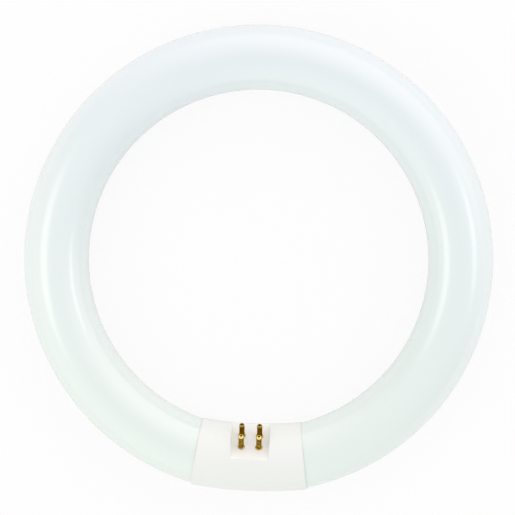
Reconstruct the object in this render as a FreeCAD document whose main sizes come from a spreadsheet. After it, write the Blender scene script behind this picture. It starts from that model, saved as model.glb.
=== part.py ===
import FreeCAD, Part
import math
import os
import Sketcher
from FreeCAD import Placement, Rotation, Vector

# A ring-shaped fluorescent tube. The ring lies in the XY plane, centred on the origin, with the
# plastic base at -Y. The contact pins lean from the base towards the ring's middle and up (+Y, +Z).
doc = FreeCAD.newDocument("circular_fluorescent_tube")

# Driving dimensions, in millimetres and degrees
SIZES = {
    # Glass: a tube bent to a ring, with a narrower straight neck inside the base at each end
    "ring_outer_diameter": 210.0,
    "tube_diameter": 29.0,
    "shoulder_round": 1.8,
    "neck_clearance": 1.5,
    "neck_end_gap": 3.2,
    "neck_rim_round": 2.5,
    "stem_mouth_diameter": 13.0,
    "stem_floor_diameter": 9.0,
    "stem_depth": 4.0,
    "exhaust_diameter": 3.2,
    "exhaust_reach": 3.0,
    # Base: a sleeve in two half-shells, bent less than the ring, with a thin lip round the tube
    "sleeve_length": 48.4,
    "sleeve_bend": 15.6,
    "sleeve_wall": 1.0,
    "lip_thickness": 0.55,
    "mouth_round": 0.25,
    "glass_overlap": 1.5,
    "glass_clearance": 0.15,
    "lap_height": 0.8,
    "lap_clearance": 0.05,
    "lap_end_margin": 1.5,
    # Connector recess: a flat floor square to the pins
    "recess_length": 17.1,
    "recess_end_wall": 1.0,
    "recess_depth": 3.7,
    "floor_thickness": 1.2,
    # Contact pins
    "pin_tilt": 45.0,
    "pin_pitch_along": 7.92,
    "pin_pitch_across": 6.35,
    "pin_diameter": 2.35,
    "pin_bore": 0.8,
    "pin_length": 8.0,
    "pin_tip_round": 0.7,
    "flange_diameter": 3.2,
    "flange_thickness": 0.5,
    "flange_round": 0.35,
    "tail_diameter": 2.1,
    "tail_clearance": 0.05,
    "clinch_diameter": 3.0,
    "clinch_height": 0.5,
    "dimple_radius": 0.36,
    "dimple_depth": 0.22,
    "dimple_height": 4.2,
    # Lead wires, from the stems up through the pins
    "lead_diameter": 0.6,
    "lead_offset": 3.0,
    "lead_run": 3.0,
    "lead_drop": 4.0,
    "lead_bend": 2.5,
    "lead_setback": 0.5,
}

# Values worked out from the driving dimensions
WORKED = {
    "tube_radius": "Sizes.tube_diameter / 2",
    "ring_radius": "Sizes.ring_outer_diameter / 2 - tube_radius",
    # The sleeve's section, its own bend, and the half angle to each of its mouths
    "lip_radius": "tube_radius + Sizes.glass_clearance",
    "sleeve_radius": "lip_radius + Sizes.lip_thickness",
    "sleeve_diameter": "2 * sleeve_radius",
    "sleeve_bore": "sleeve_radius - Sizes.sleeve_wall",
    "bend_radius": "Sizes.sleeve_length * 180 / (pi * Sizes.sleeve_bend)",
    "mouth_angle": "Sizes.sleeve_bend / 2",
    "split_length": "2 * Sizes.sleeve_length",
    # Half way down each lip the sleeve is centred on the ring
    "lip_depth": "Sizes.glass_overlap + Sizes.shoulder_round + Sizes.glass_clearance",
    "lip_middle_angle": "mouth_angle * (1 - lip_depth / Sizes.sleeve_length)",
    "lip_middle_x": "bend_radius * sin(lip_middle_angle)",
    "lip_middle_rise": "bend_radius * (1 - cos(lip_middle_angle))",
    "base_distance": "sqrt(ring_radius ^ 2 - lip_middle_x ^ 2) + lip_middle_rise",
    "bend_axis_y": "bend_radius - base_distance",
    # Angles round the ring at which the full tube and the lips round it end
    "ring_mouth_angle": "asin(bend_radius * sin(mouth_angle) / ring_radius) / 1 deg",
    "ring_end_angle": "ring_mouth_angle - (lip_depth - Sizes.glass_clearance) / ring_radius * 180 / pi",
    "lip_end_angle": "ring_mouth_angle - lip_depth / ring_radius * 180 / pi",
    "ring_sweep": "360 - 2 * ring_end_angle",
    "lip_sweep": "360 - 2 * lip_end_angle",
    # The recess's block in the middle, and the necks that end short of it, square to the sleeve's axis
    "block_length": "Sizes.recess_length + 2 * Sizes.recess_end_wall",
    "block_radius": "sleeve_radius - Sizes.sleeve_wall / 2",
    "neck_radius": "sleeve_bore - Sizes.neck_clearance",
    "neck_end": "block_length / 2 + Sizes.neck_end_gap",
    "neck_end_angle": "neck_end / bend_radius * 180 / pi",
    "neck_end_x": "bend_radius * sin(neck_end_angle)",
    "neck_end_y": "bend_axis_y - bend_radius * cos(neck_end_angle)",
    "neck_turn": "180 + neck_end_angle",
    "neck_root": "Sizes.sleeve_length / 2 - Sizes.glass_overlap - neck_end",
    "neck_flat": "neck_radius - Sizes.neck_rim_round",
    "stem_mouth_radius": "Sizes.stem_mouth_diameter / 2",
    "stem_floor_radius": "Sizes.stem_floor_diameter / 2",
    "exhaust_radius": "Sizes.exhaust_diameter / 2",
    "exhaust_shank": "Sizes.exhaust_reach - exhaust_radius",
    # Lap joint between the half-shells, clear of the mouths' lips
    "lap_thickness": "(Sizes.sleeve_wall - Sizes.lap_clearance) / 2",
    "lap_near": "bend_radius - sleeve_bore",
    "lap_near_out": "lap_near - lap_thickness",
    "lap_far": "bend_radius + sleeve_bore",
    "lap_far_out": "lap_far + lap_thickness",
    "lap_sweep": "Sizes.sleeve_bend - 2 * (lip_depth + Sizes.lap_end_margin) / bend_radius * 180 / pi",
    "rebate_near_out": "lap_near_out - Sizes.lap_clearance",
    "rebate_far_out": "lap_far_out + Sizes.lap_clearance",
    "rebate_depth": "Sizes.lap_height + Sizes.lap_clearance",
    "rebate_sweep": "lap_sweep + 2 * Sizes.lap_clearance / bend_radius * 180 / pi",
    # Recess floor and the seat of the pins
    "floor_distance": "sleeve_radius - Sizes.recess_depth",
    "floor_under": "floor_distance - Sizes.floor_thickness",
    "floor_y": "floor_distance * sin(Sizes.pin_tilt) - base_distance",
    "floor_z": "floor_distance * cos(Sizes.pin_tilt)",
    "pin_x": "Sizes.pin_pitch_along / 2",
    "pin_across": "Sizes.pin_pitch_across / 2",
    "pin_across_y": "pin_across * cos(Sizes.pin_tilt)",
    "pin_across_z": "pin_across * sin(Sizes.pin_tilt)",
    "pin_lean": "-Sizes.pin_tilt",
    # Pin profile
    "pin_radius": "Sizes.pin_diameter / 2",
    "pin_bore_radius": "Sizes.pin_bore / 2",
    "pin_tip_radius": "pin_radius - Sizes.pin_tip_round",
    "pin_shank_top": "Sizes.pin_length - Sizes.pin_tip_round",
    "flange_radius": "Sizes.flange_diameter / 2",
    "flange_top_radius": "flange_radius - Sizes.flange_round",
    "flange_edge": "Sizes.flange_thickness - Sizes.flange_round",
    "tail_radius": "Sizes.tail_diameter / 2",
    "tail_hole_radius": "tail_radius + Sizes.tail_clearance",
    "clinch_radius": "Sizes.clinch_diameter / 2",
    "tail_end": "Sizes.floor_thickness + Sizes.clinch_height",
    "dimple_side": "pin_radius + Sizes.dimple_radius - Sizes.dimple_depth",
}


def fill_sheet(name, cells):
    """Write one alias and its text per row of a new spreadsheet."""
    sheet = doc.addObject("Spreadsheet::Sheet", name)
    for row, (alias, text) in enumerate(cells.items(), start=1):
        sheet.set(f"A{row}", alias)
        sheet.set(f"B{row}", text)
        sheet.setAlias(f"B{row}", alias)
    return sheet


fill_sheet("Sizes", {alias: str(size) for alias, size in SIZES.items()})
fill_sheet("Worked", {alias: "=" + formula for alias, formula in WORKED.items()})
doc.recompute()


def read(cell):
    """Present value of a cell, named Sheet.alias; a leading minus sign turns it round."""
    sheet, alias = cell.lstrip("-").split(".")
    value = doc.getObject(sheet).get(alias)
    value = getattr(value, "Value", value)
    return -value if cell.startswith("-") else value


def bind(feature, **cells):
    """Tie properties of a feature to sheet cells."""
    for name, cell in cells.items():
        feature.setExpression(name, cell)


def origin_part(body, role):
    """One of a body's own origin planes or axes."""
    return next(part for part in body.Origin.OriginFeatures if part.Role == role)


def new_sketch(body, name, role, base=(None, None, None), turn=None, axis=(0, 0, 1)):
    """Sketch on an origin plane, moved by cells along the plane's own axes and turned about axis."""
    sketch = body.newObject("Sketcher::SketchObject", name)
    sketch.AttachmentSupport = [(origin_part(body, role), "")]
    sketch.MapMode = "FlatFace"
    move = Vector(*[read(cell) if cell else 0 for cell in base])
    angle = read(turn) if turn else 0
    sketch.AttachmentOffset = Placement(move, Rotation(Vector(*axis), angle))
    for letter, cell in zip("xyz", base):
        if cell:
            sketch.setExpression(f".AttachmentOffset.Base.{letter}", cell)
    if turn:
        sketch.setExpression(".AttachmentOffset.Rotation.Angle", turn)
    return sketch


def dimension(sketch, kind, *references, cell):
    """Add one driving constraint and tie it to a cell."""
    index = sketch.addConstraint(Sketcher.Constraint(kind, *references, read(cell)))
    sketch.setExpression(f"Constraints[{index}]", cell)


def locate(sketch, geometry, point, x, y):
    """Tie a sketch point to the cells of its coordinates; None puts it on the axis."""
    for kind, on_axis, cell in (("DistanceX", -2, x), ("DistanceY", -1, y)):
        if cell is None:
            sketch.addConstraint(Sketcher.Constraint("PointOnObject", geometry, point, on_axis))
        elif cell.startswith("-"):
            dimension(sketch, kind, geometry, point, -1, 1, cell=cell[1:])
        else:
            dimension(sketch, kind, -1, 1, geometry, point, cell=cell)


def at(x, y):
    """Sketch position of a pair of cells."""
    return Vector(read(x) if x else 0, read(y) if y else 0, 0)


def add_circle(sketch, x, y, radius):
    """Circle with its centre and radius tied to cells."""
    circle = sketch.addGeometry(Part.Circle(at(x, y), Vector(0, 0, 1), read(radius)))
    locate(sketch, circle, 3, x, y)
    dimension(sketch, "Radius", circle, cell=radius)


def add_outline(sketch, corners, rounds=None):
    """Closed outline through corners, given as pairs of cells.

    rounds gives, by the number of the corner that it leaves, the radius cell of a side that is a
    clockwise arc; the other sides are straight.
    """
    rounds = rounds or {}
    sides = []
    for number, corner in enumerate(corners):
        start = at(*corner)
        end = at(*corners[(number + 1) % len(corners)])
        if number in rounds:
            radius = read(rounds[number])
            chord = end - start
            height = math.sqrt(radius ** 2 - (chord.Length / 2) ** 2)
            right = Vector(chord.y, -chord.x, 0).normalize()
            centre = (start + end) / 2 + right * height
            first = math.atan2(end.y - centre.y, end.x - centre.x)
            last = math.atan2(start.y - centre.y, start.x - centre.x)
            circle = Part.Circle(centre, Vector(0, 0, 1), radius)
            side = sketch.addGeometry(Part.ArcOfCircle(circle, first, last))
            dimension(sketch, "Radius", side, cell=rounds[number])
            sides.append((side, 2, 1))
        else:
            sides.append((sketch.addGeometry(Part.LineSegment(start, end)), 1, 2))
    for number, (side, start_point, end_point) in enumerate(sides):
        following, following_start, _ = sides[(number + 1) % len(sides)]
        sketch.addConstraint(
            Sketcher.Constraint("Coincident", side, end_point, following, following_start)
        )
        locate(sketch, side, start_point, *corners[number])


def revolve(body, kind, name, sketch, axis, sweep=None):
    """Revolution or Groove about a sketch axis, half the sweep to each side of the sketch."""
    feature = body.newObject("PartDesign::" + kind, name)
    feature.Profile = sketch
    feature.ReferenceAxis = (sketch, [axis])
    feature.Angle = read(sweep) if sweep else 360
    if sweep:
        feature.Midplane = True
        bind(feature, Angle=sweep)
    return feature


def extrude(body, kind, name, sketch, length):
    """Pad or Pocket, half its length to each side of the sketch."""
    feature = body.newObject("PartDesign::" + kind, name)
    feature.Profile = sketch
    feature.SideType = "Symmetric"
    bind(feature, Length=length)
    return feature


def circular_edges(feature, radius):
    """Names of a feature's round edges of one radius."""
    return [
        f"Edge{number}"
        for number, edge in enumerate(feature.Shape.Edges, start=1)
        if math.isclose(edge.Curve.Radius, read(radius), rel_tol=1e-6)
    ]


def make_glass_tube():
    """Sealed glass: the bent tube, rounded off at its ends, and a straight neck with its stem."""
    body = doc.addObject("PartDesign::Body", "glass_tube")
    section = new_sketch(body, "tube_section", "YZ_Plane")
    add_circle(section, "Worked.ring_radius", None, "Worked.tube_radius")
    ring = revolve(body, "Revolution", "ring", section, "V_Axis", "Worked.ring_sweep")
    doc.recompute()

    shoulders = body.newObject("PartDesign::Fillet", "shoulders")
    shoulders.Base = (ring, circular_edges(ring, "Worked.tube_radius"))
    bind(shoulders, Radius="Sizes.shoulder_round")

    # Half section of a neck: x runs along the sleeve's axis, from the end face towards its middle
    neck_place = ("Worked.neck_end_x", "Worked.neck_end_y", None)
    profile = new_sketch(body, "neck_profile", "XY_Plane", neck_place, "Worked.neck_turn")
    corners = [
        ("-Worked.neck_root", None),
        ("-Worked.neck_root", "Worked.neck_radius"),
        ("-Sizes.neck_rim_round", "Worked.neck_radius"),
        (None, "Worked.neck_flat"),
        (None, "Worked.exhaust_radius"),
        ("Worked.exhaust_shank", "Worked.exhaust_radius"),
        ("Sizes.exhaust_reach", None),
    ]
    add_outline(profile, corners, {2: "Sizes.neck_rim_round", 5: "Worked.exhaust_radius"})
    neck = revolve(body, "Revolution", "neck", profile, "H_Axis")

    # The stem is sealed in from the end, so the neck is hollow round its exhaust tube
    hollow = new_sketch(body, "stem_profile", "XY_Plane", neck_place, "Worked.neck_turn")
    corners = [
        (None, "Worked.exhaust_radius"),
        ("-Sizes.stem_depth", "Worked.exhaust_radius"),
        ("-Sizes.stem_depth", "Worked.stem_floor_radius"),
        (None, "Worked.stem_mouth_radius"),
    ]
    add_outline(hollow, corners)
    stem = revolve(body, "Groove", "stem", hollow, "H_Axis")
    necks = body.newObject("PartDesign::Mirrored", "necks")
    necks.Originals = [neck, stem]
    necks.MirrorPlane = (origin_part(body, "YZ_Plane"), [""])
    body.Tip = necks
    return body


def shell_sketch(body, name):
    """Sketch in the base's middle section, with its vertical axis on the axis of the sleeve's bend."""
    return new_sketch(body, name, "YZ_Plane", ("Worked.bend_axis_y", None, None))


def add_half_shell(body, kept):
    """Bent sleeve with its mouths and its connector recess, split to keep its front or its back."""
    section = shell_sketch(body, "sleeve_section")
    add_circle(section, "-Worked.bend_radius", None, "Worked.sleeve_radius")
    add_circle(section, "-Worked.bend_radius", None, "Worked.sleeve_bore")
    sleeve = revolve(body, "Revolution", "sleeve", section, "V_Axis", "Sizes.sleeve_bend")
    doc.recompute()
    rims = body.newObject("PartDesign::Fillet", "mouth_rims")
    rims.Base = (sleeve, circular_edges(sleeve, "Worked.sleeve_radius"))
    bind(rims, Radius="Sizes.mouth_round")

    # The recess is sketched square to the pins, from the sleeve's axis in its middle section
    seat = ("-Worked.base_distance", None, None)
    block = new_sketch(body, "recess_block", "YZ_Plane", seat, "Worked.pin_lean")
    swing = math.acos(read("Worked.floor_under") / read("Worked.block_radius"))
    circle = Part.Circle(Vector(), Vector(0, 0, 1), read("Worked.block_radius"))
    crown = block.addGeometry(Part.ArcOfCircle(circle, math.pi / 2 - swing, math.pi / 2 + swing))
    chord = block.addGeometry(Part.LineSegment(block.getPoint(crown, 2), block.getPoint(crown, 1)))
    block.addConstraint(Sketcher.Constraint("Coincident", crown, 3, -1, 1))
    block.addConstraint(Sketcher.Constraint("Coincident", chord, 1, crown, 2))
    block.addConstraint(Sketcher.Constraint("Coincident", chord, 2, crown, 1))
    block.addConstraint(Sketcher.Constraint("Horizontal", chord))
    dimension(block, "Radius", crown, cell="Worked.block_radius")
    dimension(block, "DistanceY", -1, 1, chord, 1, cell="Worked.floor_under")
    extrude(body, "Pad", "recess_floor", block, "Worked.block_length")
    opening = new_sketch(body, "recess_opening", "YZ_Plane", seat, "Worked.pin_lean")
    side = "Worked.sleeve_radius"
    low = "Worked.floor_distance"
    high = "Worked.sleeve_diameter"
    add_outline(opening, [("-" + side, low), ("-" + side, high), (side, high), (side, low)])
    extrude(body, "Pocket", "recess", opening, "Sizes.recess_length")

    # Both mouths open round the full tube, along the ring's own curve
    mouth = new_sketch(body, "lip_section", "YZ_Plane")
    add_circle(mouth, "Worked.ring_radius", None, "Worked.lip_radius")
    revolve(body, "Groove", "lips", mouth, "V_Axis", "Worked.lip_sweep")

    parting = new_sketch(body, "parting_plane", "YZ_Plane", seat)
    width = "Worked.sleeve_diameter"
    depth = "-" + width if kept == "front" else width
    add_outline(parting, [("-" + width, None), ("-" + width, depth), (width, depth), (width, None)])
    extrude(body, "Pocket", "split", parting, "Worked.split_length")


def add_lap_strips(sketch, near_out, far_out, depth):
    """Two strips below the parting plane, inside the wall on both sides of the sleeve."""
    for inside, outside in (("-Worked.lap_near", near_out), ("-Worked.lap_far", far_out)):
        add_outline(sketch, [(inside, None), (outside, None), (outside, depth), (inside, depth)])


def make_front_shell():
    """Half-shell with the connector recess, the pin holes and the lap joint's tongues."""
    body = doc.addObject("PartDesign::Body", "base_front_shell")
    add_half_shell(body, "front")
    floor = (None, "Worked.floor_y", "Worked.floor_z")
    holes = new_sketch(body, "pin_hole_centres", "XY_Plane", floor, "Worked.pin_lean", (1, 0, 0))
    for along in ("-", ""):
        for across in ("-", ""):
            add_circle(holes, along + "Worked.pin_x", across + "Worked.pin_across", "Worked.tail_hole_radius")
    extrude(body, "Pocket", "pin_holes", holes, "Worked.floor_distance")
    tongue = shell_sketch(body, "tongue_section")
    add_lap_strips(tongue, "-Worked.lap_near_out", "-Worked.lap_far_out", "-Sizes.lap_height")
    revolve(body, "Revolution", "tongues", tongue, "V_Axis", "Worked.lap_sweep")
    return body


def make_back_shell():
    """Half-shell that closes the sleeve, with rebates for the tongues."""
    body = doc.addObject("PartDesign::Body", "base_back_shell")
    add_half_shell(body, "back")
    rebate = shell_sketch(body, "rebate_section")
    add_lap_strips(rebate, "-Worked.rebate_near_out", "-Worked.rebate_far_out", "-Worked.rebate_depth")
    revolve(body, "Groove", "rebates", rebate, "V_Axis", "Worked.rebate_sweep")
    return body


def make_pin(place, along, across):
    """Hollow contact pin, turned about its own Z axis with the recess floor at zero."""
    body = doc.addObject("PartDesign::Body", "contact_pin_" + place)
    profile = new_sketch(body, "pin_profile", "XZ_Plane")
    corners = [
        ("Worked.pin_bore_radius", "-Worked.tail_end"),
        ("Worked.pin_bore_radius", "Sizes.pin_length"),
        ("Worked.pin_tip_radius", "Sizes.pin_length"),
        ("Worked.pin_radius", "Worked.pin_shank_top"),
        ("Worked.pin_radius", "Sizes.flange_thickness"),
        ("Worked.flange_top_radius", "Sizes.flange_thickness"),
        ("Worked.flange_radius", "Worked.flange_edge"),
        ("Worked.flange_radius", None),
        ("Worked.tail_radius", None),
        ("Worked.tail_radius", "-Sizes.floor_thickness"),
        ("Worked.clinch_radius", "-Sizes.floor_thickness"),
        ("Worked.tail_radius", "-Worked.tail_end"),
    ]
    add_outline(profile, corners, {2: "Sizes.pin_tip_round", 5: "Sizes.flange_round"})
    revolve(body, "Revolution", "turned_pin", profile, "V_Axis")

    # The shank is pressed in on two sides, to grip the wire
    dimple = body.newObject("PartDesign::SubtractiveSphere", "dimple")
    dimple.AttachmentSupport = [(origin_part(body, "XY_Plane"), "")]
    dimple.MapMode = "FlatFace"
    dimple.setExpression(".AttachmentOffset.Base.y", "Worked.dimple_side")
    dimple.setExpression(".AttachmentOffset.Base.z", "Sizes.dimple_height")
    bind(dimple, Radius="Sizes.dimple_radius")
    pressed = body.newObject("PartDesign::PolarPattern", "pressed_sides")
    pressed.Originals = [dimple]
    pressed.Axis = (origin_part(body, "Z_Axis"), [""])
    pressed.Angle = 360
    pressed.Occurrences = 2
    body.Tip = pressed

    body.Placement = Placement(Vector(), Rotation(Vector(1, 0, 0), read("Worked.pin_lean")))
    body.setExpression(".Placement.Base.x", f"{along} * Worked.pin_x")
    body.setExpression(".Placement.Base.y", f"Worked.floor_y + {across} * Worked.pin_across_y")
    body.setExpression(".Placement.Base.z", f"Worked.floor_z - {across} * Worked.pin_across_z")
    body.setExpression(".Placement.Rotation.Angle", "Worked.pin_lean")
    return body


def rounded_path(points, radius):
    """Wire through points, with a tangent arc of one radius at each inner point."""
    edges = []
    start = points[0]
    for before, corner, after in zip(points, points[1:], points[2:]):
        back = (before - corner).normalize()
        ahead = (after - corner).normalize()
        half = back.getAngle(ahead) / 2
        inset = radius / math.tan(half)
        middle = corner + (back + ahead).normalize() * (radius / math.sin(half) - radius)
        edges.append(Part.LineSegment(start, corner + back * inset).toShape())
        edges.append(Part.Arc(corner + back * inset, middle, corner + ahead * inset).toShape())
        start = corner + ahead * inset
    edges.append(Part.LineSegment(start, points[-1]).toShape())
    return Part.Wire(edges)


def make_lead(place, along, across):
    """Lead wire: out of the stem beside the exhaust tube, then up through its contact pin."""
    tilt = math.radians(read("Sizes.pin_tilt"))
    lift = Vector(0, math.sin(tilt), math.cos(tilt))
    turn = math.radians(read("Worked.neck_end_angle"))
    inward = Vector(-along * math.cos(turn), -math.sin(turn), 0)
    stem = Vector(along * read("Worked.neck_end_x"), read("Worked.neck_end_y"), 0)
    stem_aside = Vector(-along * math.sin(turn), math.cos(turn), 0) * math.cos(tilt)
    stem_aside.z = -math.sin(tilt)
    stem += stem_aside * across * read("Sizes.lead_offset")
    seat = Vector(along * read("Worked.pin_x"), read("Worked.floor_y"), read("Worked.floor_z"))
    seat += Vector(0, read("Worked.pin_across_y"), -read("Worked.pin_across_z")) * across
    points = [
        stem - inward * read("Sizes.stem_depth"),
        stem + inward * read("Sizes.lead_run"),
        seat - lift * (read("Worked.tail_end") + read("Sizes.lead_drop")),
        seat + lift * (read("Sizes.pin_length") - read("Sizes.lead_setback")),
    ]
    path = rounded_path(points, read("Sizes.lead_bend"))
    circle = Part.Circle(points[0], inward, read("Sizes.lead_diameter") / 2)
    lead = doc.addObject("Part::Feature", "lead_wire_" + place)
    lead.Shape = path.makePipeShell([Part.Wire(circle.toShape())], True, True)
    lead.Placement = Placement()
    return lead


subparts = [make_glass_tube(), make_front_shell(), make_back_shell()]
for end_name, end_side in (("left", -1), ("right", 1)):
    for row_name, row_side in (("inner", 1), ("outer", -1)):
        subparts.append(make_pin(f"{end_name}_{row_name}", end_side, row_side))
        subparts.append(make_lead(f"{end_name}_{row_name}", end_side, row_side))
for subpart in subparts:
    subpart.Label = subpart.Name
doc.recompute()

# Every feature is sound, and every cut takes something away
for item in doc.Objects:
    if "Invalid" in item.State or "Error" in item.State:
        raise RuntimeError(f"{item.Name} failed: {item.State}")
    if item.TypeId in ("PartDesign::Pocket", "PartDesign::Groove", "PartDesign::SubtractiveSphere"):
        if item.Shape.Volume >= item.BaseFeature.Shape.Volume:
            raise RuntimeError(f"{item.Name} cuts nothing")
for subpart in subparts:
    shape = subpart.Shape
    if shape.isNull() or not shape.isValid() or len(shape.Solids) != 1:
        raise RuntimeError(f"{subpart.Label} is not one valid solid")

os.makedirs("parts", exist_ok=True)
for subpart in subparts:
    subpart.Shape.exportStep(f"parts/{subpart.Label}.step")
    print(f"{subpart.Label}: {subpart.Shape.Volume:.1f} mm3")
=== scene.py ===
import bpy
import bmesh
import math
from mathutils import Matrix, Vector


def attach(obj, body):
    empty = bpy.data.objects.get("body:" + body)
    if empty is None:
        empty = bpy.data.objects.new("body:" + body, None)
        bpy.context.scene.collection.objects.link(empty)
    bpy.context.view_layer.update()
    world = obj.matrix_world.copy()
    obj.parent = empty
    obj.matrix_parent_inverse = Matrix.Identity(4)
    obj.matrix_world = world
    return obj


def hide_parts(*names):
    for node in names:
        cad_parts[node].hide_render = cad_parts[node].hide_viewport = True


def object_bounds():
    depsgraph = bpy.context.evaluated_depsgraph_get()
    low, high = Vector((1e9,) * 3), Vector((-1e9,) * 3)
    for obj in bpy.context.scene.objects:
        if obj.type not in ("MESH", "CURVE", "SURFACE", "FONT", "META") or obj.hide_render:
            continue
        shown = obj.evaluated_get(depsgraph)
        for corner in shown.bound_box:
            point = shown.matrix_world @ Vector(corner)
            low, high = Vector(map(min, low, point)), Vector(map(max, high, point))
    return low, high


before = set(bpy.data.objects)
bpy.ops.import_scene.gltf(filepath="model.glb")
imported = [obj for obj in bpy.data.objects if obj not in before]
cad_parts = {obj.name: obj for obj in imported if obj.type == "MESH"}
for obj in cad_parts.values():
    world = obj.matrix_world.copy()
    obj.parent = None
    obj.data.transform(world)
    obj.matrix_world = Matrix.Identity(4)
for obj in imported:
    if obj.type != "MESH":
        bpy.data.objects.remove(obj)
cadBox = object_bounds()
mm = 0.001                # sizes below are in millimetres
print("frame loaded:", len(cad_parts), "nodes")

# How near counts as the same place in the mesh work, in millimetres
near = {"merge": 0.002, "mirror": 0.005, "cut": 0.001, "sliver": 0.005, "plane": 0.01, "parting": 0.1}


def linearColor(hexText):      # sRGB hex to the linear colour that the shaders take
    channels = [int(hexText[i:i + 2], 16) / 255 for i in (1, 3, 5)]
    return [c / 12.92 if c <= 0.04045 else ((c + 0.055) / 1.055) ** 2.4 for c in channels] + [1.0]


# Adds a node with its settings, values and links. On a Mix node, input 0 is the share, 2 and 3 are numbers,
# and 6 and 7 are colours; its output 0 is a number and 2 a colour.
def addNode(tree, kind, inputs=None, **settings):
    node = tree.nodes.new(kind)
    for name, value in settings.items():
        setattr(node, name, value)
    for name, value in (inputs or {}).items():
        if isinstance(value, bpy.types.NodeSocket):
            tree.links.new(value, node.inputs[name])
        else:
            node.inputs[name].default_value = value
    return node


def startMaterial(name):
    material = bpy.data.materials.new(name)
    material.use_nodes = True
    material.node_tree.nodes.clear()
    return material, material.node_tree


def perMillimetre(size):      # noise scale on Object coordinates, in metres, for a grain of this size
    return 1 / (size * mm)


# Soda-lime tube with white phosphor powder inside: a chalky white seen through a clear, glossy skin
phosphorGlass = {
    "ends": "#e7f2e8", "middle": "#e6eff2",      # greener towards the base, where the tube ends, and bluer across the top of the ring
    "drift": 90, "patch": 38, "patchShare": 0.35,
    "ripple": 24, "rippleHeight": 0.012,
    "roughness": 0.3, "haze": 0.4, "hazeRange": (0.35, 0.75), "ior": 1.5,      # the powder behind the wall
    "skinRoughness": 0.1, "skinIor": 1.68,                                     # the outer face of the wall
}


def makePhosphorGlass(look):
    material, tree = startMaterial("phosphorCoatedGlass")
    place = addNode(tree, "ShaderNodeTexCoord").outputs["Object"]
    patches = addNode(tree, "ShaderNodeTexNoise", {
        "Vector": place, "Scale": perMillimetre(look["patch"]), "Detail": 3.0})
    along = addNode(tree, "ShaderNodeSeparateXYZ", {"Vector": place})
    # the colour runs from the ends' greener tint at the base to the middle's bluer tint at the top, mixed
    # with random patches
    tintShare = addNode(tree, "ShaderNodeMapRange", {
        "Value": along.outputs["Y"], "From Min": -look["drift"] * mm, "From Max": look["drift"] * mm})
    tintShare = addNode(tree, "ShaderNodeMix", {
        0: look["patchShare"], 2: tintShare.outputs["Result"], 3: patches.outputs["Fac"]})
    colour = addNode(tree, "ShaderNodeMix", {
        0: tintShare.outputs[0], 6: linearColor(look["ends"]), 7: linearColor(look["middle"])}, data_type="RGBA")
    haze = addNode(tree, "ShaderNodeMapRange", {
        "Value": patches.outputs["Fac"], "From Min": look["hazeRange"][0], "From Max": look["hazeRange"][1],
        "To Min": look["roughness"], "To Max": look["haze"]})
    ripple = addNode(tree, "ShaderNodeTexNoise", {
        "Vector": place, "Scale": perMillimetre(look["ripple"]), "Detail": 1.0})
    bump = addNode(tree, "ShaderNodeBump", {
        "Height": ripple.outputs["Fac"], "Strength": 1.0, "Distance": look["rippleHeight"] * mm})
    shader = addNode(tree, "ShaderNodeBsdfPrincipled", {
        "Base Color": colour.outputs[2], "IOR": look["ior"], "Roughness": haze.outputs["Result"],
        "Normal": bump.outputs["Normal"], "Coat Weight": 1.0, "Coat Roughness": look["skinRoughness"],
        "Coat IOR": look["skinIor"], "Coat Normal": bump.outputs["Normal"]})
    addNode(tree, "ShaderNodeOutputMaterial", {"Surface": shader.outputs["BSDF"]})
    return material


# Copper-clad lead wire, oxidised by the glass sealing: dull brown with darker marks
leadWire = {"metal": "#6b4a26", "dark": "#33230f", "streak": 0.25, "roughness": 0.45}


def makeLeadWire(look):
    material, tree = startMaterial("oxidisedLeadWire")
    place = addNode(tree, "ShaderNodeTexCoord").outputs["Object"]
    streaks = addNode(tree, "ShaderNodeTexNoise", {
        "Vector": place, "Scale": perMillimetre(look["streak"]), "Detail": 2.0})
    colour = addNode(tree, "ShaderNodeMix", {
        0: streaks.outputs["Fac"], 6: linearColor(look["metal"]),
        7: linearColor(look["dark"])}, data_type="RGBA")
    shader = addNode(tree, "ShaderNodeBsdfPrincipled", {
        "Base Color": colour.outputs[2], "Metallic": 1.0, "Roughness": look["roughness"]})
    addNode(tree, "ShaderNodeOutputMaterial", {"Surface": shader.outputs["BSDF"]})
    return material


glassMaterial = makePhosphorGlass(phosphorGlass)
wireMaterial = makeLeadWire(leadWire)
print("glass and wire materials made")


acrossRing = (0, math.pi / 2, 0)      # turns a circle to stand across the ring


def openLoop(name, radius, place, vertices, turn=(0, 0, 0)):      # a circle, open for editing
    bpy.ops.object.select_all(action="DESELECT")
    bpy.ops.mesh.primitive_circle_add(vertices=vertices, radius=radius * mm, location=[c * mm for c in place],
                                      rotation=turn)
    piece = bpy.context.object
    piece.name = piece.data.name = name
    bpy.ops.object.transform_apply(location=True, rotation=True, scale=True)
    bpy.ops.object.mode_set(mode="EDIT")
    bpy.ops.mesh.select_all(action="SELECT")
    return piece


def pick(piece, kind, test):      # selects vertices or faces by their middle, in millimetres
    bpy.ops.mesh.select_mode(type=kind)
    bpy.ops.mesh.select_all(action="DESELECT")
    mesh = bmesh.from_edit_mesh(piece.data)
    for part in {"VERT": mesh.verts, "FACE": mesh.faces}[kind]:
        corners = [part] if kind == "VERT" else part.verts
        if test(sum((v.co for v in corners), Vector()) / len(corners) / mm):
            part.select_set(True)
    mesh.select_flush_mode()
    bmesh.update_edit_mesh(piece.data)


def drawOut(centre, axis, radius, stations):      # draws the selected loop out to (distance, radius) stations
    before = 0
    for along, wide in stations:
        bpy.ops.mesh.extrude_region_move(TRANSFORM_OT_translate={"value": axis * (along - before) * mm})
        bpy.ops.transform.resize(value=(wide / radius,) * 3, center_override=(centre + axis * along) * mm)
        before, radius = along, wide


def quarterRound(along, wide, size, steps):      # stations of a quarter round that narrows a loop by size
    angles = [math.pi / 2 * k / steps for k in range(1, steps + 1)]
    return [(along + size * math.sin(a), wide - size * (1 - math.cos(a))) for a in angles]


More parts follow.
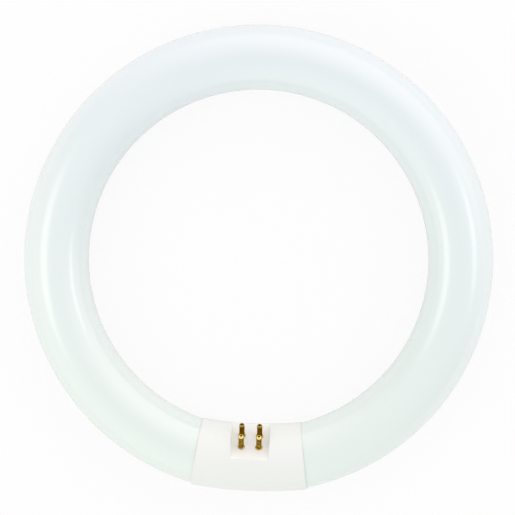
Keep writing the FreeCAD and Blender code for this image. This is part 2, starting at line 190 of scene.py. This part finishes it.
def closeMesh():      # merges what meets and turns the faces outwards
    bpy.ops.mesh.select_all(action="SELECT")
    bpy.ops.mesh.remove_doubles(threshold=near["merge"] * mm)
    bpy.ops.mesh.normals_make_consistent(inside=False)
    bpy.ops.object.mode_set(mode="OBJECT")


def selectOnly(piece):
    bpy.ops.object.select_all(action="DESELECT")
    piece.select_set(True)
    bpy.context.view_layer.objects.active = piece


def copyPiece(source, name):      # a copy with its own mesh
    selectOnly(source)
    bpy.ops.object.duplicate()
    piece = bpy.context.object
    piece.name = piece.data.name = name
    return piece


def applyModifier(piece, kind, **settings):
    selectOnly(piece)
    modifier = piece.modifiers.new(kind.title(), kind)
    for name, value in settings.items():
        setattr(modifier, name, value)
    bpy.ops.object.modifier_apply(modifier=modifier.name)


def cutWith(piece, addTool, **settings):      # cuts a primitive's room out of a piece
    bpy.ops.object.select_all(action="DESELECT")
    addTool(**settings)
    tool = bpy.context.object
    applyModifier(piece, "BOOLEAN", object=tool, operation="DIFFERENCE", solver="EXACT")
    bpy.data.objects.remove(tool)


def finishPiece(piece, material, node, smoothAngle=35):
    selectOnly(piece)
    bpy.ops.object.shade_smooth_by_angle(angle=math.radians(smoothAngle))
    piece.data.materials.clear()
    piece.data.materials.append(material)
    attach(piece, "root")
    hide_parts(node)


# Sizes that the glass and the base share
shared = {
    "ringDiameter": 210, "tubeDiameter": 29,
    "sleeveLength": 48.4, "sleeveBend": 15.6,      # the base bends less than the ring
    "wall": 1.0, "lip": 0.55, "recessLength": 17.1,
    "shoulder": 1.8, "overlap": 1.5, "clearance": 0.15,      # how the full tube ends inside the base's mouths
}
tubeRadius = shared["tubeDiameter"] / 2
ringRadius = shared["ringDiameter"] / 2 - tubeRadius
lipRadius = tubeRadius + shared["clearance"]
sleeveRadius = lipRadius + shared["lip"]
recessHalf = shared["recessLength"] / 2
lipDepth = shared["overlap"] + shared["shoulder"] + shared["clearance"]
bendRadius = shared["sleeveLength"] / math.radians(shared["sleeveBend"])
mouthTurn = math.radians(shared["sleeveBend"] / 2)      # of a mouth, about the middle of the base's own bend
# half way down a lip, the middle of the sleeve lies on the middle of the tube
lipTurn = mouthTurn * (1 - lipDepth / shared["sleeveLength"])
sleeveDistance = math.sqrt(ringRadius ** 2 - (bendRadius * math.sin(lipTurn)) ** 2)
sleeveDistance += bendRadius * (1 - math.cos(lipTurn))
bendCentre = Vector((0, bendRadius - sleeveDistance, 0))
# angles about the middle of the ring, from the middle of the base
mouthAngle = math.asin(bendRadius * math.sin(mouthTurn) / ringRadius)
glassEnd = mouthAngle - (lipDepth - shared["clearance"]) / ringRadius
lipEnd = mouthAngle - lipDepth / ringRadius


# Glass tube: bent to a ring, necked down at each end inside the base, with a stem sealed into the neck
glass = {
    "vertices": 80, "steps": 150, "shoulderSteps": 6,
    "neckClearance": 1.5, "neckFromRecess": 4.2, "rim": 2.5, "rimSteps": 5,
    "stemMouth": 6.5, "stemFloor": 4.5, "stemDepth": 4.0, "exhaust": 1.6, "exhaustReach": 3.0,
    "tipShare": 0.999, "tipSteps": 5,      # the exhaust tip's last loop is tiny, and is merged to a point
}


def makeGlass(size):
    shoulderAngle = glassEnd + shared["shoulder"] / ringRadius
    piece = openLoop("glassTube", tubeRadius, (0, ringRadius, 0), size["vertices"], acrossRing)
    bpy.ops.mesh.spin(steps=size["steps"], angle=math.pi - shoulderAngle, center=(0, 0, 0), axis=(0, 0, 1))
    out = Vector((math.sin(shoulderAngle), -math.cos(shoulderAngle), 0))
    along = Vector((math.cos(shoulderAngle), math.sin(shoulderAngle), 0))
    pick(piece, "VERT", lambda p: abs(p.dot(along)) < near["plane"] and p.y < 0)
    shoulder = quarterRound(0, tubeRadius, shared["shoulder"], size["shoulderSteps"])
    drawOut(out * ringRadius, -along, tubeRadius, shoulder)
    # the neck is straight, and turned to the base's own gentler bend
    neckRadius = sleeveRadius - shared["wall"] - size["neckClearance"]
    turn = (recessHalf + size["neckFromRecess"]) / bendRadius
    inward = Vector((-math.cos(turn), -math.sin(turn), 0))
    neckEnd = bendCentre + Vector((math.sin(turn), -math.cos(turn), 0)) * bendRadius
    neckStart = neckEnd - inward * size["rim"]
    shoulderEnd = out * ringRadius - along * shared["shoulder"]
    bpy.ops.mesh.extrude_region_move(TRANSFORM_OT_translate={"value": (neckStart - shoulderEnd) * mm})
    bpy.ops.transform.rotate(value=shoulderAngle - turn, orient_axis="Z", center_override=neckStart * mm)
    rim = quarterRound(0, neckRadius, size["rim"], size["rimSteps"])
    stem = [(0, size["stemMouth"]), (-size["stemDepth"], size["stemFloor"]),
            (-size["stemDepth"], size["exhaust"]), (0, size["exhaust"])]
    tip = quarterRound(size["exhaustReach"] - size["exhaust"], size["exhaust"],
                       size["exhaust"] * size["tipShare"], size["tipSteps"])
    stations = [(s + size["rim"], r) for s, r in stem + tip]
    drawOut(neckStart, inward, neckRadius, rim + stations)
    bpy.ops.mesh.merge(type="CENTER")
    closeMesh()
    applyModifier(piece, "MIRROR", use_axis=(True, False, False), merge_threshold=near["mirror"] * mm)
    finishPiece(piece, glassMaterial, "glass_tube")
    return piece


glassTube = makeGlass(glass)
print("glass tube:", len(glassTube.data.polygons), "faces")


# Base: a bent sleeve in two half-shells that meet in the ring's mid-plane; the recess takes the connector
sleeve = {
    "vertices": 128, "steps": 24, "recessDepth": 3.7, "pinTilt": 45,
    "edge": 0.16, "edgeSteps": 3, "edgeAngle": 38,
    "lipReach": 9, "lipVertices": 96, "lipSteps": 16,      # the reach is in degrees along the ring
    "holeRadius": 1.1, "holeDepth": 4, "holeVertices": 32,
}
pins = {
    "pitchAlong": 7.92, "pitchAcross": 6.35, "vertices": 48, "smoothAngle": 40,
    "length": 8.0, "radius": 1.175, "shankRows": 12, "tipRound": 0.65, "tipSteps": 5,
    "bore": 0.4, "mouth": 0.52, "mouthDepth": 0.5,
    "flange": 1.6, "flangeHeight": 0.5, "flangeRound": 0.35, "flangeSteps": 4,
    "floor": 1.2, "tail": 1.05, "clinch": 1.5, "clinchHeight": 0.5,
    "dimple": 0.36, "dimpleDepth": 0.22, "dimpleHeight": 4.2, "dimpleVertices": 32, "dimpleRings": 16,
}
tilt = math.radians(sleeve["pinTilt"])
lift = Vector((0, math.sin(tilt), math.cos(tilt)))          # the way the pins point
across = Vector((0, math.cos(tilt), -math.sin(tilt)))       # over the recess floor, towards the ring's middle
sleeveAxis = Vector((0, -sleeveDistance, 0))
floorMiddle = sleeveAxis + lift * (sleeveRadius - sleeve["recessDepth"])
floorHeight = floorMiddle.dot(lift)


def pinSeats():      # name and floor point of each contact pin
    for end, side in (("left", -1), ("right", 1)):
        for row, step in (("inner", 1), ("outer", -1)):
            seat = floorMiddle + across * step * pins["pitchAcross"] / 2
            yield f"{end}_{row}", seat + Vector((side * pins["pitchAlong"] / 2, 0, 0))


# PBT, injection moulded in a spark-eroded mould: off-white with a fine satin grain
mouldedPbt = {
    # paintedRecessLight is painted light: a paler colour on the recess floor in place of light that its walls
    # and the pins shade off
    "base": "#edf0ea", "flow": "#f0f3ee", "paintedRecessLight": "#f7f8f1", "flowSize": 16,
    "grain": 0.6, "grainHeight": 0.012, "grainStrength": 0.6,      # about 0.1 mm in life, coarser to show
    "roughness": 0.44, "roughnessSpread": 0.06, "ior": 1.5,
}


def makeMouldedPbt(look):
    material, tree = startMaterial("mouldedPbt")
    place = addNode(tree, "ShaderNodeTexCoord").outputs["Object"]
    flow = addNode(tree, "ShaderNodeTexNoise", {
        "Vector": place, "Scale": perMillimetre(look["flowSize"]), "Detail": 2.0})
    colour = addNode(tree, "ShaderNodeMix", {
        0: flow.outputs["Fac"], 6: linearColor(look["base"]), 7: linearColor(look["flow"])}, data_type="RGBA")
    # painted light: the recess floor is painted paler, to offset the shade that its end walls and the pins
    # cast on it
    along = addNode(tree, "ShaderNodeSeparateXYZ", {"Vector": place})
    aside = addNode(tree, "ShaderNodeMath", {0: along.outputs["X"]}, operation="ABSOLUTE")
    inside = addNode(tree, "ShaderNodeMapRange", {
        "Value": aside.outputs[0], "From Min": (recessHalf + sleeve["edge"]) * mm,
        "From Max": recessHalf * mm})
    height = addNode(tree, "ShaderNodeVectorMath", {0: place, 1: lift}, operation="DOT_PRODUCT")
    above = addNode(tree, "ShaderNodeMapRange", {
        "Value": height.outputs["Value"], "From Min": (floorHeight - sleeve["edge"]) * mm,
        "From Max": floorHeight * mm})
    recessLightMask = addNode(tree, "ShaderNodeMath", {
        0: inside.outputs["Result"], 1: above.outputs["Result"]}, operation="MULTIPLY")
    colour = addNode(tree, "ShaderNodeMix", {
        0: recessLightMask.outputs[0], 6: colour.outputs[2], 7: linearColor(look["paintedRecessLight"])}, data_type="RGBA")
    grain = addNode(tree, "ShaderNodeTexNoise", {
        "Vector": place, "Scale": perMillimetre(look["grain"]), "Detail": 2.0})
    bump = addNode(tree, "ShaderNodeBump", {
        "Height": grain.outputs["Fac"], "Strength": look["grainStrength"],
        "Distance": look["grainHeight"] * mm})
    rough = addNode(tree, "ShaderNodeMapRange", {
        "Value": grain.outputs["Fac"], "To Min": look["roughness"] - look["roughnessSpread"],
        "To Max": look["roughness"] + look["roughnessSpread"]})
    shader = addNode(tree, "ShaderNodeBsdfPrincipled", {
        "Base Color": colour.outputs[2], "IOR": look["ior"], "Roughness": rough.outputs["Result"],
        "Normal": bump.outputs["Normal"]})
    addNode(tree, "ShaderNodeOutputMaterial", {"Surface": shader.outputs["BSDF"]})
    return material


plasticMaterial = makeMouldedPbt(mouldedPbt)


def makeSleeveSkin(size):
    piece = openLoop("sleeveSkin", sleeveRadius, sleeveAxis, size["vertices"], acrossRing)
    bpy.ops.mesh.spin(steps=size["steps"], angle=mouthTurn, center=bendCentre * mm, axis=(0, 0, -1))
    # the recess is cut round, then its lid is pushed down flat
    cut = near["cut"] * mm
    bpy.ops.mesh.select_all(action="SELECT")
    bpy.ops.mesh.bisect(plane_co=(recessHalf * mm, 0, 0), plane_no=(1, 0, 0), threshold=cut)
    pick(piece, "FACE", lambda p: p.x < recessHalf and (p - sleeveAxis).dot(lift) > 0)
    bpy.ops.mesh.bisect(plane_co=floorMiddle * mm, plane_no=lift, threshold=cut)
    pick(piece, "FACE", lambda p: p.x < recessHalf and (p - floorMiddle).dot(lift) > 0)
    bpy.ops.mesh.extrude_region()
    basis = Matrix((Vector((1, 0, 0)), across, lift)).transposed()
    bpy.ops.transform.resize(value=(1, 1, 0), orient_type="GLOBAL", orient_matrix=basis,
                             orient_matrix_type="GLOBAL", center_override=floorMiddle * mm)
    pick(piece, "FACE", lambda p: abs(p.x) < near["plane"])
    bpy.ops.mesh.delete(type="FACE")
    closeMesh()
    applyModifier(piece, "MIRROR", use_axis=(True, False, False), merge_threshold=near["mirror"] * mm)
    return piece


def makeLipCutter(size):      # the room that both mouths leave round the full tube, along the ring's curve
    piece = openLoop("lipCutter", lipRadius, (0, -ringRadius, 0), size["lipVertices"], acrossRing)
    bpy.ops.transform.rotate(value=-lipEnd, orient_axis="Z", center_override=(0, 0, 0))
    bpy.ops.mesh.spin(steps=size["lipSteps"], angle=math.radians(size["lipReach"]), center=(0, 0, 0),
                      axis=(0, 0, -1))
    bpy.ops.mesh.select_all(action="SELECT")
    bpy.ops.mesh.select_mode(type="EDGE")
    bpy.ops.mesh.select_non_manifold()
    bpy.ops.mesh.edge_face_add()
    closeMesh()
    applyModifier(piece, "MIRROR", use_axis=(True, False, False), use_mirror_merge=False)
    return piece


def makeShell(skin, cutter, name, side, node, size):      # side is +1 for the half that the pins are on
    piece = copyPiece(skin, name)
    bpy.ops.object.mode_set(mode="EDIT")
    bpy.ops.mesh.select_all(action="SELECT")
    bpy.ops.mesh.bisect(plane_co=(0, 0, 0), plane_no=(0, 0, side), clear_inner=True)
    closeMesh()
    applyModifier(piece, "SOLIDIFY", thickness=shared["wall"] * mm, offset=-1)
    bpy.ops.object.mode_set(mode="EDIT")
    pick(piece, "VERT", lambda p: abs(p.z) < near["parting"])      # the parting faces are flat
    bpy.ops.transform.resize(value=(1, 1, 0), center_override=(0, 0, 0))
    bpy.ops.object.mode_set(mode="OBJECT")
    applyModifier(piece, "BOOLEAN", object=cutter, operation="DIFFERENCE", solver="EXACT")
    applyModifier(piece, "BEVEL", width=size["edge"] * mm, segments=size["edgeSteps"], limit_method="ANGLE",
                  angle_limit=math.radians(size["edgeAngle"]), use_clamp_overlap=False)
    if side > 0:
        for _, seat in pinSeats():      # the pins' tails go through the recess floor
            cutWith(piece, bpy.ops.mesh.primitive_cylinder_add, vertices=size["holeVertices"],
                    radius=size["holeRadius"] * mm, depth=size["holeDepth"] * mm, location=seat * mm,
                    rotation=(-tilt, 0, 0))
    finishPiece(piece, plasticMaterial, node)
    return piece


sleeveSkin = makeSleeveSkin(sleeve)
lipCutter = makeLipCutter(sleeve)
frontShell = makeShell(sleeveSkin, lipCutter, "baseFrontShell", 1, "base_front_shell", sleeve)
backShell = makeShell(sleeveSkin, lipCutter, "baseBackShell", -1, "base_back_shell", sleeve)
for used in (sleeveSkin, lipCutter):
    bpy.data.objects.remove(used)
print("base shells:", len(frontShell.data.polygons), "and", len(backShell.data.polygons), "faces")


# Brass, drawn and crimped: brown tarnish on the shanks, brighter at the outer row's tips, grime and painted
# shade in the hollows
drawnBrass = {
    "bright": "#f8e28a", "tarnish": "#755203", "grimeAndShade": "#241a04", "edge": "#d9b860",
    "patch": 0.9, "patchRange": (0.3, 0.62), "roughness": 0.15, "dull": 0.3,
    "hollow": 1.5, "hollowRays": 8,
    "grimeAndShadeRange": (0.75, 0.25),      # how open a hollow is where the grime and painted shade start and are full
    "tipFrom": 7.1, "tipTo": 7.5, "flangeTo": 0.55, "flangeFade": 0.1, "flangeWear": 0.45,
    "outerRow": -1.5, "innerRow": 1.5, "innerWear": 0.25, "outerTarnish": 0.6, "innerTarnish": 0.93,
}


def makeDrawnBrass(look):
    material, tree = startMaterial("drawnBrass")
    place = addNode(tree, "ShaderNodeTexCoord").outputs["Object"]
    row = floorMiddle.dot(across)
    height = addNode(tree, "ShaderNodeVectorMath", {0: place, 1: lift}, operation="DOT_PRODUCT")
    over = addNode(tree, "ShaderNodeVectorMath", {0: place, 1: across}, operation="DOT_PRODUCT")
    rows = {"Value": over.outputs["Value"], "From Min": (row + look["outerRow"]) * mm,
            "From Max": (row + look["innerRow"]) * mm}
    # the outer row's tips are brighter and its shanks less brown than the inner row's
    least = addNode(tree, "ShaderNodeMapRange", {
        **rows, "To Min": look["outerTarnish"], "To Max": look["innerTarnish"]})
    patches = addNode(tree, "ShaderNodeTexNoise", {
        "Vector": place, "Scale": perMillimetre(look["patch"]), "Detail": 4.0})
    amount = addNode(tree, "ShaderNodeMapRange", {
        "Value": patches.outputs["Fac"], "From Min": look["patchRange"][0], "From Max": look["patchRange"][1],
        "To Min": least.outputs["Result"]})
    tipBrightByRow = addNode(tree, "ShaderNodeMapRange", {**rows, "To Min": 1.0, "To Max": look["innerWear"]})
    tip = addNode(tree, "ShaderNodeMapRange", {
        "Value": height.outputs["Value"], "From Min": (floorHeight + look["tipFrom"]) * mm,
        "From Max": (floorHeight + look["tipTo"]) * mm, "To Max": tipBrightByRow.outputs["Result"]})
    flangeTop = floorHeight + look["flangeTo"]
    flange = addNode(tree, "ShaderNodeMapRange", {
        "Value": height.outputs["Value"], "From Min": (flangeTop + look["flangeFade"]) * mm,
        "From Max": flangeTop * mm, "To Max": look["flangeWear"]})
    worn = addNode(tree, "ShaderNodeMath", {
        0: tip.outputs["Result"], 1: flange.outputs["Result"]}, operation="MAXIMUM")
    left = addNode(tree, "ShaderNodeMath", {0: 1.0, 1: worn.outputs[0]}, operation="SUBTRACT")
    tarnish = addNode(tree, "ShaderNodeMath", {
        0: amount.outputs["Result"], 1: left.outputs[0]}, operation="MULTIPLY")
    colour = addNode(tree, "ShaderNodeMix", {
        0: tarnish.outputs[0], 6: linearColor(look["bright"]),
        7: linearColor(look["tarnish"])}, data_type="RGBA")
    # painted shade: ambient occlusion darkens the brass wherever other surfaces are near, in the bore, the
    # dimples, at the flange's foot and against the plastic; it stands for grime and for the shade that falls
    # there together
    hollow = addNode(tree, "ShaderNodeAmbientOcclusion", {
        "Distance": look["hollow"] * mm}, samples=look["hollowRays"])
    grimeAndShade = addNode(tree, "ShaderNodeMapRange", {
        "Value": hollow.outputs["AO"], "From Min": look["grimeAndShadeRange"][0], "From Max": look["grimeAndShadeRange"][1]})
    colour = addNode(tree, "ShaderNodeMix", {
        0: grimeAndShade.outputs["Result"], 6: colour.outputs[2], 7: linearColor(look["grimeAndShade"])}, data_type="RGBA")
    rough = addNode(tree, "ShaderNodeMapRange", {
        "Value": tarnish.outputs[0], "To Min": look["roughness"], "To Max": look["dull"]})
    shader = addNode(tree, "ShaderNodeBsdfPrincipled", {
        "Base Color": colour.outputs[2], "Metallic": 1.0, "Roughness": rough.outputs["Result"],
        "Specular Tint": linearColor(look["edge"])})
    addNode(tree, "ShaderNodeOutputMaterial", {"Surface": shader.outputs["BSDF"]})
    return material


brassMaterial = makeDrawnBrass(drawnBrass)


def makeUprightPin(size):      # the four pins are alike, so one is modelled at the origin and copied
    low = -size["floor"] - size["clinchHeight"]
    piece = openLoop("uprightPin", size["bore"], (0, 0, low), size["vertices"])
    flangeEdge = size["flangeHeight"] - size["flangeRound"]
    shankTop = size["length"] - size["tipRound"]
    rowStep = (shankTop - size["flangeHeight"]) / size["shankRows"]
    # (height, radius) from the clinched tail up the outside, and back down the bore
    profile = [(low, size["tail"]), (-size["floor"], size["clinch"]), (-size["floor"], size["tail"]),
               (0, size["tail"]), (0, size["flange"]), (flangeEdge, size["flange"])]
    profile += quarterRound(flangeEdge, size["flange"], size["flangeRound"], size["flangeSteps"])
    profile += [(size["flangeHeight"] + rowStep * k, size["radius"]) for k in range(size["shankRows"] + 1)]
    profile += quarterRound(shankTop, size["radius"], size["tipRound"], size["tipSteps"])
    profile += [(size["length"], size["mouth"]), (size["length"] - size["mouthDepth"], size["bore"]),
                (low, size["bore"])]
    drawOut(Vector((0, 0, low)), Vector((0, 0, 1)), size["bore"], [(h - low, r) for h, r in profile])
    closeMesh()
    dimpleSide = size["radius"] + size["dimple"] - size["dimpleDepth"]
    for side in (-1, 1):      # pressed in on two sides, to grip the wire
        cutWith(piece, bpy.ops.mesh.primitive_uv_sphere_add, segments=size["dimpleVertices"],
                ring_count=size["dimpleRings"], radius=size["dimple"] * mm,
                location=(0, side * dimpleSide * mm, size["dimpleHeight"] * mm))
    bpy.ops.object.mode_set(mode="EDIT")
    bpy.ops.mesh.select_all(action="SELECT")
    bpy.ops.mesh.dissolve_degenerate(threshold=near["sliver"] * mm)      # slivers round the dimples
    closeMesh()
    return piece


def seatPin(uprightPin, name, seat, size):
    piece = copyPiece(uprightPin, "contactPin_" + name)
    piece.rotation_euler = (-tilt, 0, 0)
    piece.location = seat * mm
    bpy.ops.object.transform_apply(location=True, rotation=True, scale=True)
    finishPiece(piece, brassMaterial, "contact_pin_" + name, size["smoothAngle"])


pinToCopy = makeUprightPin(pins)
for pinName, pinSeat in pinSeats():
    seatPin(pinToCopy, pinName, pinSeat, pins)
    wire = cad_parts["lead_wire_" + pinName]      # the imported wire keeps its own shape
    wire.data.materials.clear()
    wire.data.materials.append(wireMaterial)
bpy.data.objects.remove(pinToCopy)
print("contact pins and lead wires dressed")


# Floor: paper that is white to the camera and a little lighter in reflections, and keeps a soft shadow
floor = {
    "size": 12000, "paper": "#f6f6f5", "roughness": 0.9, "gloss": 0.1,
    "glow": 0.86, "mirrorGlow": 0.15, "fibre": 3, "fibreHeight": 0.02, "fibreStrength": 0.1,
}


def makeFloor(look):
    bpy.ops.object.select_all(action="DESELECT")
    bpy.ops.mesh.primitive_plane_add(size=look["size"] * mm, location=(0, 0, cadBox[0][2]))
    piece = bpy.context.object
    piece.name = piece.data.name = "paperFloor"
    bpy.ops.object.transform_apply(location=True, rotation=True, scale=True)
    material, tree = startMaterial("whitePaper")
    place = addNode(tree, "ShaderNodeTexCoord").outputs["Object"]
    fibre = addNode(tree, "ShaderNodeTexNoise", {"Vector": place, "Scale": perMillimetre(look["fibre"])})
    bump = addNode(tree, "ShaderNodeBump", {
        "Height": fibre.outputs["Fac"], "Strength": look["fibreStrength"],
        "Distance": look["fibreHeight"] * mm})
    paper = addNode(tree, "ShaderNodeBsdfPrincipled", {
        "Base Color": linearColor(look["paper"]), "Specular IOR Level": look["gloss"],
        "Roughness": look["roughness"], "Normal": bump.outputs["Normal"]})
    white = addNode(tree, "ShaderNodeEmission", {"Color": (1, 1, 1, 1), "Strength": 1.0})
    ray = addNode(tree, "ShaderNodeLightPath")
    mirrored = addNode(tree, "ShaderNodeMath", {
        0: ray.outputs["Is Glossy Ray"], 1: ray.outputs["Is Transmission Ray"]}, operation="MAXIMUM")
    mirrored = addNode(tree, "ShaderNodeMath", {
        0: mirrored.outputs[0], 1: look["mirrorGlow"]}, operation="MULTIPLY")
    share = addNode(tree, "ShaderNodeMath", {
        0: ray.outputs["Is Camera Ray"], 1: look["glow"], 2: mirrored.outputs[0]}, operation="MULTIPLY_ADD")
    mixed = addNode(tree, "ShaderNodeMixShader", {
        0: share.outputs[0], 1: paper.outputs["BSDF"], 2: white.outputs["Emission"]})
    addNode(tree, "ShaderNodeOutputMaterial", {"Surface": mixed.outputs["Shader"]})
    piece.data.materials.append(material)


makeFloor(floor)


# Light: two soft-edged lamps draw the long streaks on the glass, in a cool white tent with two warmer sides
studio = {
    "tent": ("#f5f8ff", 0.735),
    "sides": {62: ("#ffede8", 0.86), 237: ("#fff7e8", 0.55)},      # by where they stand, in degrees from +X
    "lamps": {      # place and size in millimetres, brightness as seen from the object, colour
        "leftSoftbox": ((-490, -57, 460), (620, 430), 1.42, "#fff6e2"),
        "rightSoftbox": ((583, 40, 445), (560, 310), 1.25, "#fafcff"),
    },
    "softEdge": (0.5, 0.12),      # how far out a lamp's light starts and is full, as shares of its size
}


def makeTent(plan):
    world = bpy.data.worlds.new("whiteTent")
    bpy.context.scene.world = world
    world.use_nodes = True
    tree = world.node_tree
    tree.nodes.clear()
    direction = addNode(tree, "ShaderNodeTexCoord").outputs["Generated"]
    tentColour, tentBrightness = plan["tent"]
    light = addNode(tree, "ShaderNodeBackground", {
        "Color": linearColor(tentColour), "Strength": tentBrightness})
    for azimuth, (colour, brightness) in plan["sides"].items():
        turn = math.radians(azimuth)
        towards = addNode(tree, "ShaderNodeVectorMath", {
            0: direction, 1: (math.cos(turn), math.sin(turn), 0)}, operation="DOT_PRODUCT")
        rise = addNode(tree, "ShaderNodeMapRange", {
            "Value": towards.outputs["Value"], "To Max": brightness}, interpolation_type="SMOOTHSTEP")
        glow = addNode(tree, "ShaderNodeBackground", {
            "Color": linearColor(colour), "Strength": rise.outputs["Result"]})
        light = addNode(tree, "ShaderNodeAddShader", {0: light.outputs[0], 1: glow.outputs[0]})
    addNode(tree, "ShaderNodeOutputWorld", {"Surface": light.outputs[0]})


def makeLamps(plan):
    rim, full = plan["softEdge"]
    middle = (0.5, 0.5, 0)      # of a lamp's face, which runs from 0 to 1
    for name, (place, size, brightness, colour) in plan["lamps"].items():
        lamp = bpy.data.lights.new(name, "AREA")
        lamp.shape = "ELLIPSE"
        lamp.size, lamp.size_y = size[0] * mm, size[1] * mm
        face = math.pi / 4 * lamp.size * lamp.size_y
        lamp.energy = brightness * math.pi * face      # watts that make its face this bright
        lamp.color = linearColor(colour)[:3]
        lamp.use_nodes = True
        tree = lamp.node_tree
        tree.nodes.clear()
        spot = addNode(tree, "ShaderNodeNewGeometry").outputs["Parametric"]
        reach = addNode(tree, "ShaderNodeVectorMath", {0: spot, 1: middle}, operation="DISTANCE")
        fade = addNode(tree, "ShaderNodeMapRange", {
            "Value": reach.outputs["Value"], "From Min": rim,
            "From Max": full}, interpolation_type="SMOOTHSTEP")
        glow = addNode(tree, "ShaderNodeEmission", {"Strength": fade.outputs["Result"]})
        addNode(tree, "ShaderNodeOutputLight", {"Surface": glow.outputs["Emission"]})
        piece = bpy.data.objects.new(name, lamp)
        bpy.context.scene.collection.objects.link(piece)
        piece.location = Vector(place) * mm
        piece.rotation_euler = (-Vector(place)).to_track_quat("-Z", "Y").to_euler()


makeTent(studio)
makeLamps(studio)


# Camera: nearly straight above the ring, turned by degrees about X, Y and Z
view = {
    "distance": 1500, "turns": {"X": 4.75, "Y": -2.0, "Z": -2.3}, "shift": (0.36, -0.95),
    "lens": 234.3, "sensor": 36, "clipStart": 10,
}


def makeCamera(plan):
    camera = bpy.data.objects.new("camera", bpy.data.cameras.new("camera"))
    bpy.context.scene.collection.objects.link(camera)
    camera.data.lens = plan["lens"]
    camera.data.sensor_width = plan["sensor"]
    camera.data.clip_start = plan["clipStart"] * mm
    turn = Matrix.Identity(3)
    for axis, angle in plan["turns"].items():
        turn = turn @ Matrix.Rotation(math.radians(angle), 3, axis)
    back = turn.transposed()
    place = back @ Vector((-plan["shift"][0], -plan["shift"][1], plan["distance"]))
    camera.matrix_world = Matrix.Translation(place * mm) @ back.to_4x4()
    bpy.context.scene.camera = camera


makeCamera(view)
bpy.context.scene.view_settings.view_transform = "Standard"
print("stage, light and camera set")
